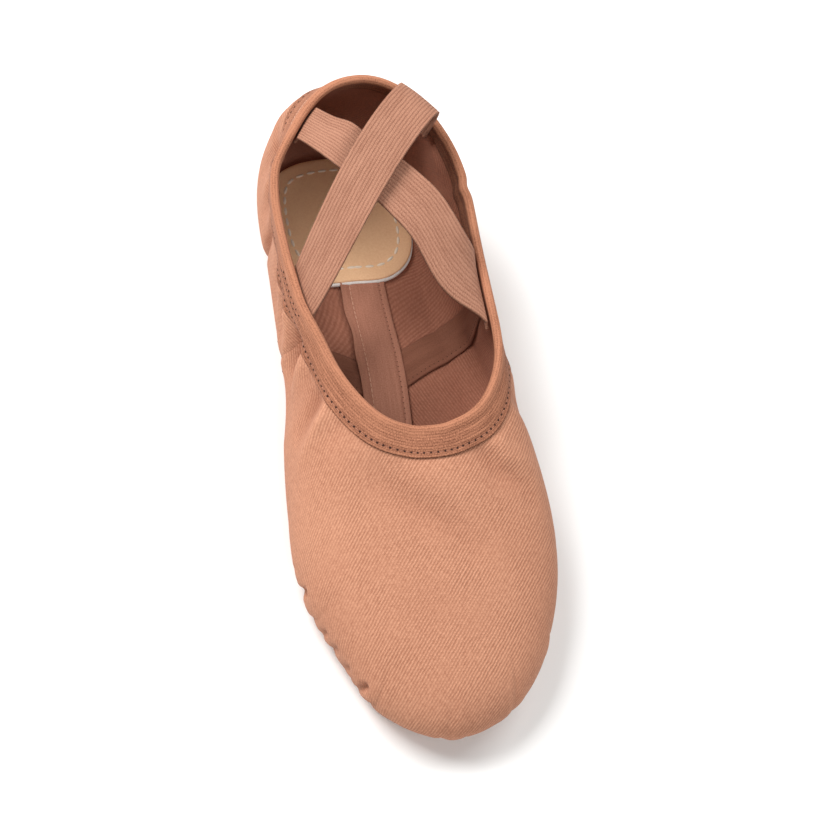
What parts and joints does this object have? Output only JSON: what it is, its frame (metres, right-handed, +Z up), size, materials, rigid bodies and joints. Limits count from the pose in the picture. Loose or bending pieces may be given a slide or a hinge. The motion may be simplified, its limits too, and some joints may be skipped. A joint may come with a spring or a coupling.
{
  "type": "dance practice shoe",
  "caption": "Soft canvas dance slipper with a split suede sole, a taped mouth, toe pleats and crossed elastics over the instep.",
  "frame": {"origin": "on the floor under the middle of the shoe's length and width", "axes": "+Z up off the floor, +Y to the heel, -Y to the toe, +X to the wearer's left"},
  "size_m": [0.086, 0.232, 0.0692],
  "materials": {
    "canvas": "dusty salmon cotton twill, matt",
    "binding": "bias tape, slightly darker than the canvas, matt",
    "suede": "golden brown split suede with a short nap",
    "insole": "tan lining leather over thin foam",
    "elastic": "ribbed elastic webbing, matt"
  },
  "bodies": {
    "root": {"upper": "canvas", "collar_binding": "binding", "outsole_forefoot": "suede", "outsole_heel": "suede", "insole_forefoot": "canvas", "insole_heel": "insole", "elastic_strap_over": "elastic", "elastic_strap_under": "elastic"}
  },
  "joints": []
}
